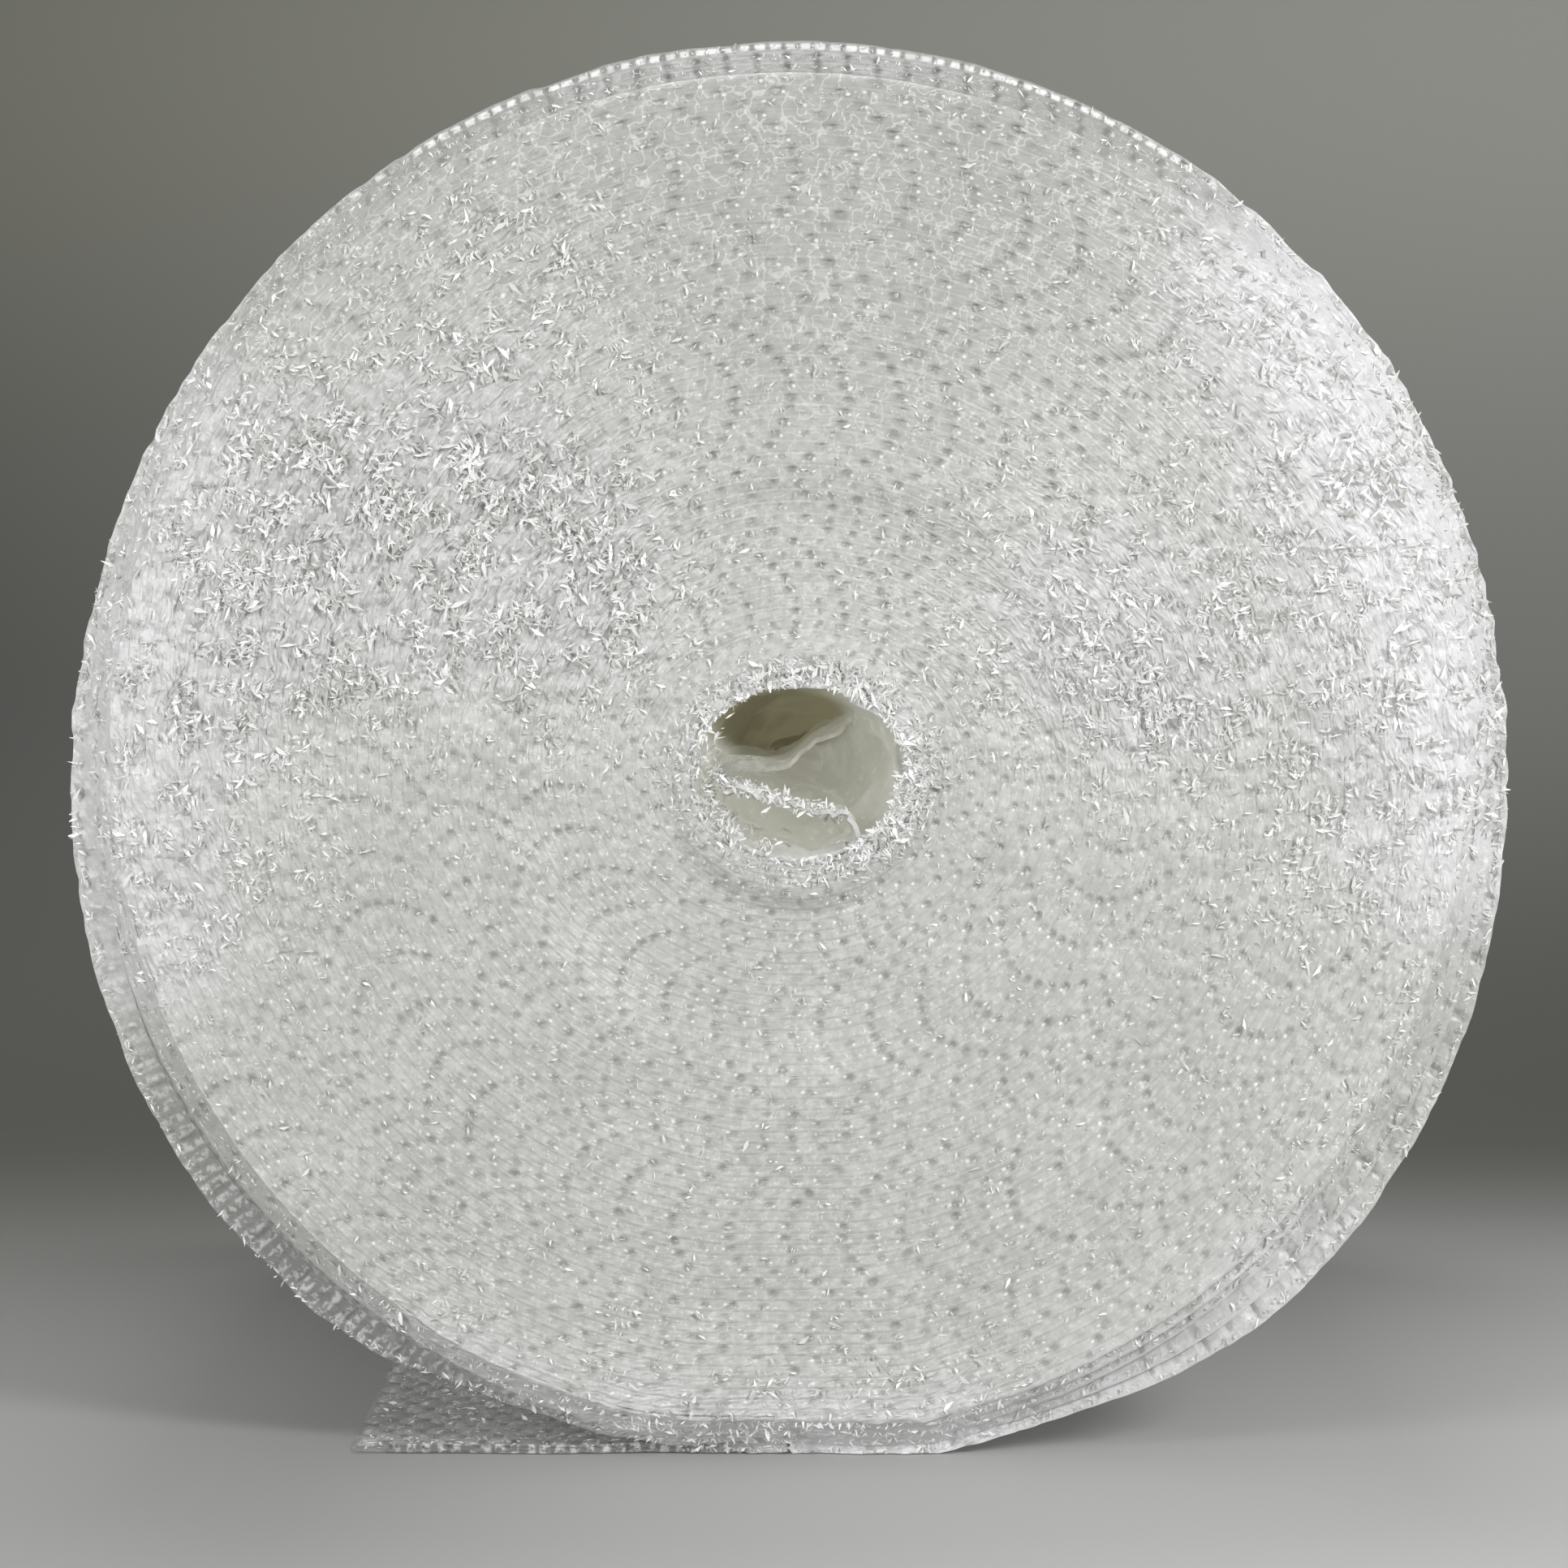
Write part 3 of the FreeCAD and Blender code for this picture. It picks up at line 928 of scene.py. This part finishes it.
def outer_bubbles(material):
    """Shallow round pillows where the outermost turn's bubbles press on its outer film."""
    around = math.tau * (ROLL_RADIUS - 0.002)
    width = 2 * LAST_HALF_WIDTH - 0.004
    mesh = bubble_sheet("outer_bubbles", around * 0.995, width, 0.0010, 8, 1)
    flat = mesh_points(mesh)
    turn = TURNS - 1 + 0.002 + flat[:, 0] / around
    turn = np.minimum(turn, LAST_PLACE)
    y = flat[:, 1] - (flat[:, 1].max() + flat[:, 1].min()) / 2
    x, z = wound_places(turn, np.full(len(turn), WEB))
    sag = film_sag(points_at(x, y, z))
    x, z = wound_places(turn, WEB + sag - 0.0003 + flat[:, 2] - rim_lumps(turn))
    points = points_at(x, y, np.maximum(z, 0))
    place_points(mesh, points, away_from_axis)
    corner_values(mesh, ring=np.clip(1 - flat[:, 2] / 0.0006, 0, 1))
    return finish_piece(mesh, material, smooth=True)


def tail_film(material):
    """The web's free end on the floor, bubbles up, with a ragged cut end."""
    steps, across_steps = 60, 160
    mesh, step_along, step_across = flat_grid("tail_film", steps, across_steps)
    share = step_along / steps
    side = step_across / across_steps * 2 - 1
    y = side * LAST_HALF_WIDTH
    ragged = grain(points_at(0, y, 0), 0.012, 21) * 0.004
    x = -share * (TAIL_LENGTH + np.where(share > 0.98, ragged, 0))
    x = np.maximum(x, -TAIL_LENGTH)
    z = 0.0006 + 0.0004 * grain(points_at(x, y, 0), 0.012, 22)
    points = points_at(x, y, np.maximum(z, 0.0001))
    place_points(mesh, points, UP)
    corner_values(mesh, ring=np.zeros(len(x)))
    return finish_piece(mesh, material, smooth=True)


def tail_bubbles(material):
    """The free end's bubbles, standing up from its film."""
    width = 2 * LAST_HALF_WIDTH - 0.002
    mesh = bubble_sheet("tail_bubbles", TAIL_LENGTH - 0.004, width, 0.0026, 10, 2)
    flat = mesh_points(mesh)
    x = -TAIL_LENGTH + 0.006 + flat[:, 0]
    y = flat[:, 1] - (flat[:, 1].max() + flat[:, 1].min()) / 2
    places = points_at(x, y, flat[:, 2])
    dented = 1 - 0.35 * np.clip(grain(places, 0.02, 31) * 2, 0, 1)
    points = points_at(x, y, 0.0005 + flat[:, 2] * dented)
    place_points(mesh, points, UP)
    corner_values(mesh, ring=np.clip(1 - flat[:, 2] / 0.0012, 0, 1))
    return finish_piece(mesh, material, smooth=True)


# The web's inner end, as shares of the hole's half width and half height from its middle
INNER_END = [(0.56, 0.69), (0.28, 0.47), (0.0, 0.22), (-0.22, 0.12), (-0.48, 0.13), (-0.76, 0.13),
             (-0.87, 0.03), (-0.78, -0.10), (-0.52, -0.19), (-0.2, -0.31), (0.12, -0.41),
             (0.34, -0.46), (0.5, -0.55), (0.58, -0.68), (0.57, -0.8), (0.42, -0.92)]
INNER_END_STEPS = 120

# How far the hole is pinched shut deeper in, and how much the lower sheet rises there
HOLE_PINCH = 0.72
FLAP_LIFT = 0.016

# How far the inner end lies behind the end face, at shares of its length
INNER_END_RECESS = ([0.0, 0.3, 0.45, 0.55, 0.75, 1.0], [0.030, 0.022, 0.008, 0.004, 0.005, 0.010])


def towards_hole(centres):
    out = HOLE_CENTRE - centres
    out[:, 1] = 0
    return out


def glow_share(behind, y):
    """How much painted glow the hole's film has: from a little way in, and hardly at all near the
    back.
    """
    return rise(behind, 0.0, 0.035) * (1 - 0.9 * rise(y, -0.05, 0.15))


def hole_wall(material):
    """Inner side of the first turns, crumpled, and pinched nearly shut deeper in."""
    around, along = 150, 130
    mesh, step_around, step_along = flat_grid("hole_wall", around, along)
    turn = -0.08 + 1.1 * step_around / around
    y = (step_along / along * 2 - 1) * (HALF_WIDTH - 0.001)
    x, z = wound_places(turn, np.zeros(len(turn)))
    behind = HALF_WIDTH - np.abs(y)
    pinch = HOLE_PINCH * rise(behind, 0.010, 0.110) - 0.05 * (1 - rise(behind, 0.0, 0.010))
    places = points_at(x, y, z)
    places += (HOLE_CENTRE - places) * pinch[:, None] * np.array([1, 0, 1])
    folds = grain_vectors(places, 0.012, 41) * 0.0034 + grain_vectors(places, 0.005, 44) * 0.0014
    points = places + folds * np.array([1, 0.3, 1]) * rise(behind, 0.001, 0.014)[:, None]
    place_points(mesh, points, towards_hole)
    right, above = points[:, 0] - HOLE_SHIFT, points[:, 2] - HOLE_MIDDLE
    # A patch up and to the left of the middle gets painted shade and dusk
    from_dusk = np.hypot((right + 0.0065) / 0.024, (above - 0.0170) / 0.0135)
    lower_left = rise(-right / 0.034 - above / 0.050, 0.1, 0.8)
    # frost lightens the wall near its mouth towards the face's tone, furthest in at the lower left:
    # painted light
    corner_values(mesh, lit=rise(from_dusk, 0.85, 1.20), inside=glow_share(behind, y),
                  frost=np.exp(-behind / (0.006 + 0.085 * lower_left)))
    return finish_piece(mesh, material, smooth=True)


def hole_shards(material):
    """Crinkled film on the hole's lower left lip and along the lower sheet's ridge."""
    draw = np.random.default_rng(131)
    lip, ridge = 300, 520
    angle = draw.normal(58, 30, lip)
    behind = draw.uniform(0.0, 1.0, lip) ** 1.6 * 0.030
    x, z = wound_places((angle % 360) / 360, np.zeros(lip))
    inwards = 0.06 + 0.55 * rise(behind, 0.006, 0.070) * HOLE_PINCH
    x += (HOLE_SHIFT - x) * inwards + draw.normal(0, 0.0016, lip)
    z += (HOLE_MIDDLE - z) * inwards + draw.normal(0, 0.0016, lip)
    on_lip = points_at(x, behind - HALF_WIDTH, z)
    share = draw.uniform(0.44, 0.86, ridge)
    line = inner_end_line(INNER_END_STEPS + 1)
    on_ridge = line[np.rint(share * INNER_END_STEPS).astype(int)].copy()
    on_ridge += draw.normal(0, 0.0013, (ridge, 3))
    recess = np.interp(share, *INNER_END_RECESS) + draw.uniform(-0.001, 0.004, ridge)
    on_ridge[:, 1] = recess - HALF_WIDTH
    centres = np.concatenate([on_lip, on_ridge])
    sizes = shard_sizes(draw, lip + ridge, (0.75, 0.40), (0.9, 4.5), (0.15, 0.40), (0.3e-3, 1.4e-3))
    return shards("hole_shards", centres, RIGHT, UP, sizes, draw, material)


def smooth_line(points, count):
    """Evenly many places on a smooth curve through or near the points given."""
    curve = bpy.data.curves.new("line", "CURVE")
    curve.dimensions = "3D"
    curve.resolution_u = 16
    spline = curve.splines.new("NURBS")
    spline.points.add(len(points) - 1)
    for place, (x, z) in zip(spline.points, points):
        place.co = (x, 0, z, 1)
    spline.order_u = 3
    spline.use_endpoint_u = True
    holder = add_object("line", curve)
    mesh = bpy.data.meshes.new_from_object(holder)
    found = mesh_points(mesh)
    bpy.data.objects.remove(holder)
    run = np.append(0, np.cumsum(np.linalg.norm(np.diff(found, axis=0), axis=1)))
    even = np.linspace(0, run[-1], count)
    return np.stack([np.interp(even, run, found[:, axis]) for axis in range(3)], axis=1)


def inner_end_line(count):
    """The inner end's section: evenly many places from its edge to the hole's wall."""
    line = smooth_line(INNER_END, count) * np.array([HOLE_WIDTH, 0, HOLE_HEIGHT]) / 2
    return line + HOLE_CENTRE


def inner_sheets(material):
    """The crumpled inner end of the web: two sheets across the hole, joined by a fold."""
    along, deep = INNER_END_STEPS, 110
    mesh, step_along, step_deep = flat_grid("inner_sheets", along, deep)
    share = step_deep / deep
    at = inner_end_line(along + 1)[step_along]
    front_wave = grain(points_at(step_along * 0.004, 0, 0), 0.02, 51)
    recess = np.interp(step_along / along, *INNER_END_RECESS)
    front = -HALF_WIDTH + recess + 0.003 * front_wave
    y = front + share * (HALF_WIDTH - 0.002 - front)
    behind = y + HALF_WIDTH
    below = rise(step_along / along, 0.48, 0.68)
    lift = FLAP_LIFT * below * rise(behind, 0.02, 0.20)
    places = points_at(at[:, 0], y, at[:, 2] + lift)
    folds = grain_vectors(places, 0.016, 52) * 0.0030 + grain_vectors(places, 0.006, 55) * 0.0014
    lip = np.exp(-(y - front) / 0.010)
    ridge = rise(step_along / along, 0.42, 0.52)
    folds += grain_vectors(places, 0.0030, 58) * (0.0022 * lip * (0.3 + 0.7 * ridge))[:, None]
    places[:, 2] -= 0.0016 * np.exp(-(y - front) / 0.0015) * (1 - ridge)
    points = places + folds * np.array([1, 0.2, 1])
    place_points(mesh, points)
    # Painted light on the sheets, fading in from their front edge, furthest on the lower sheet
    reach = 0.055 + 0.40 * rise(step_along / along, 0.36, 0.50)
    corner_values(mesh, lit=np.exp(-(behind / reach) ** 2), inside=glow_share(behind, y),
                  frost=lip * 0.8 * ridge)
    piece = finish_piece(mesh, material)
    thick = piece.modifiers.new("film", "SOLIDIFY")
    thick.thickness = 0.0016
    thick.offset = 0
    return piece


# The stage: half its width, its backdrop's height, and how far behind the roll's middle that stands
STAGE_HALF_WIDTH = 4.0
BACKDROP_HEIGHT = 5.0
STAGE_BACK = 1.5

# The lamps, all aimed at the roll's middle: name, place, size and watts
SOFTBOXES = [
    ("key_upper_right", (1.1, -1.6, 1.1), (0.5, 0.5), 22),
    ("fill_left", (-1.3, -1.3, 0.7), (0.7, 0.7), 12),
    ("top", (0.0, 0.4, 1.9), (1.0, 0.6), 9),
    ("back", (-0.5, 1.2, 1.7), (0.9, 0.5), 7),
]


def stage_finish():
    """Pale floor with painted shade, darker towards the back and left, and a backdrop with painted
    light, brighter upwards and to the right.
    """
    finish = Finish("pale_floor", Roughness=0.6)
    across, depth, height = (finish.axis(finish.place(), index) for index in range(3))
    sideways = finish.step(across, -1.0, 1.1)
    front = finish.mix(finish.step(across, -0.35, 0.25), grey(0.33, 0.02), grey(0.53, 0.01))
    floor = finish.mix(finish.step(depth, -0.25, 0.60), front, grey(0.090, 0.05))
    low = finish.mix(sideways, grey(0.030, 0.10), grey(0.19, 0.05))
    high = finish.mix(sideways, grey(0.122, 0.15), grey(0.33, 0.05))
    wall = finish.mix(finish.step(height, 0.20, 0.75), low, high)
    finish.set("Base Color", finish.mix(finish.step(height, 0.0, 0.25), floor, wall))
    return finish.material


def build_stage():
    """A pale floor that turns up into a backdrop; its finish paints shade on both."""
    bm = bmesh.new()
    bmesh.ops.create_grid(bm, x_segments=1, y_segments=1, size=STAGE_HALF_WIDTH)
    back = [edge for edge in bm.edges if all(vert.co.y > 0 for vert in edge.verts)]
    made = bmesh.ops.extrude_edge_only(bm, edges=back)
    risen = [item for item in made["geom"] if isinstance(item, bmesh.types.BMVert)]
    bmesh.ops.translate(bm, verts=risen, vec=Vector((0, 0, BACKDROP_HEIGHT)))
    bend = [edge for edge in bm.edges if len(edge.link_faces) == 2]
    bmesh.ops.bevel(bm, geom=bend, offset=0.8, segments=16, profile=0.5, affect="EDGES",
                    material=-1)
    bmesh.ops.translate(bm, verts=bm.verts, vec=Vector((0, STAGE_BACK - STAGE_HALF_WIDTH, -0.0004)))
    bmesh.ops.recalc_face_normals(bm, faces=bm.faces)
    mesh = bpy.data.meshes.new("floor")
    bm.to_mesh(mesh)
    bm.free()
    for face in mesh.polygons:
        face.use_smooth = True
    mesh.materials.append(stage_finish())
    add_object("floor", mesh)


def add_softbox(name, place, aim, size, watts):
    lamp = bpy.data.lights.new(name, "AREA")
    lamp.shape = "RECTANGLE"
    lamp.size, lamp.size_y = size
    lamp.energy = watts
    holder = add_object(name, lamp)
    holder.location = place
    holder.rotation_euler = (Vector(aim) - Vector(place)).to_track_quat("-Z", "Y").to_euler()


def light_stage():
    """Soft lamps above, before and behind the roll, in a grey room."""
    for name, place, size, watts in SOFTBOXES:
        add_softbox(name, place, (0, 0, AXIS_HEIGHT), size, watts)
    world = bpy.data.worlds.new("studio")
    bpy.context.scene.world = world
    world.use_nodes = True
    background = world.node_tree.nodes["Background"]
    background.inputs["Color"].default_value = grey(0.42)
    background.inputs["Strength"].default_value = 1.0


def place_camera():
    """The photograph's view: square on to the near end face, from a little above its axis."""
    half = FRAME_PIXELS / 2
    aim = Vector((-(OUTLINE_MIDDLE[0] - half) * PIXEL, -HALF_WIDTH,
                  (LOW[2] + HIGH[2]) / 2 + (OUTLINE_MIDDLE[1] - half) * PIXEL))
    back = Vector((0, -math.cos(VIEW_ELEVATION), math.sin(VIEW_ELEVATION))) * VIEW_DISTANCE
    lens = bpy.data.cameras.new("camera")
    lens.sensor_width = 36.0
    lens.lens = lens.sensor_width * VIEW_DISTANCE / (FRAME_PIXELS * PIXEL)
    camera = add_object("camera", lens)
    camera.location = aim + back
    camera.rotation_euler = (-back).to_track_quat("-Z", "Y").to_euler()
    bpy.context.scene.camera = camera


place_camera()
build_stage()
light_stage()

edge_film = cut_edge_finish()
painted_glint_film = painted_glint_finish()
packed_film = outer_film_finish("packed_film", 1.0, 0.55)
# The loose turn and the tail carry a painted glow
loose_film = outer_film_finish("loose_film", 0.62, 0.62, barred=0.80, glow=0.26)
bubbled_film = outer_film_finish("bubbled_film", 0.45, 0.60)
tail_finish = outer_film_finish("tail_film", 0.42, 0.50, ringed=0.20, flecked=0.7, glow=0.05)
hole_film = hole_film_finish("hole_film", 0.35)
sheet_film = hole_film_finish("inner_sheet_film", 0.50)

# The web's cut edge runs from inside the hole, by way of a seam in the front face, along the tail
EDGE_END = TURNS + TAIL_SHARE
FRONT_SEAM = 37.5
end_face_strip("front_face_inner", LEAD_IN, FRONT_SEAM, FINE_STATIONS, -1, edge_film, 101)
end_face_strip("front_face_outer", FRONT_SEAM, EDGE_END, FINE_STATIONS, -1, edge_film, 102)
end_face_strip("back_face", LEAD_IN, EDGE_END, PLAIN_STATIONS, 1, edge_film, 103)
film_shards("front_shards", 28000, -1, painted_glint_film, 111)
film_shards("back_shards", 8000, 1, painted_glint_film, 112)
wound_film("packed_turns_film", TURNS - SHOULDER_TURNS - 1, TURNS - 1, packed_film)
wound_film("loose_turn_film", TURNS - 1, TURNS, loose_film)
outer_bubbles(bubbled_film)
tail_film(tail_finish)
tail_bubbles(tail_finish)
tail_shards(painted_glint_film)
hole_wall(hole_film)
inner_sheets(sheet_film)
hole_shards(painted_glint_film)

bpy.context.scene.view_settings.view_transform = "Standard"
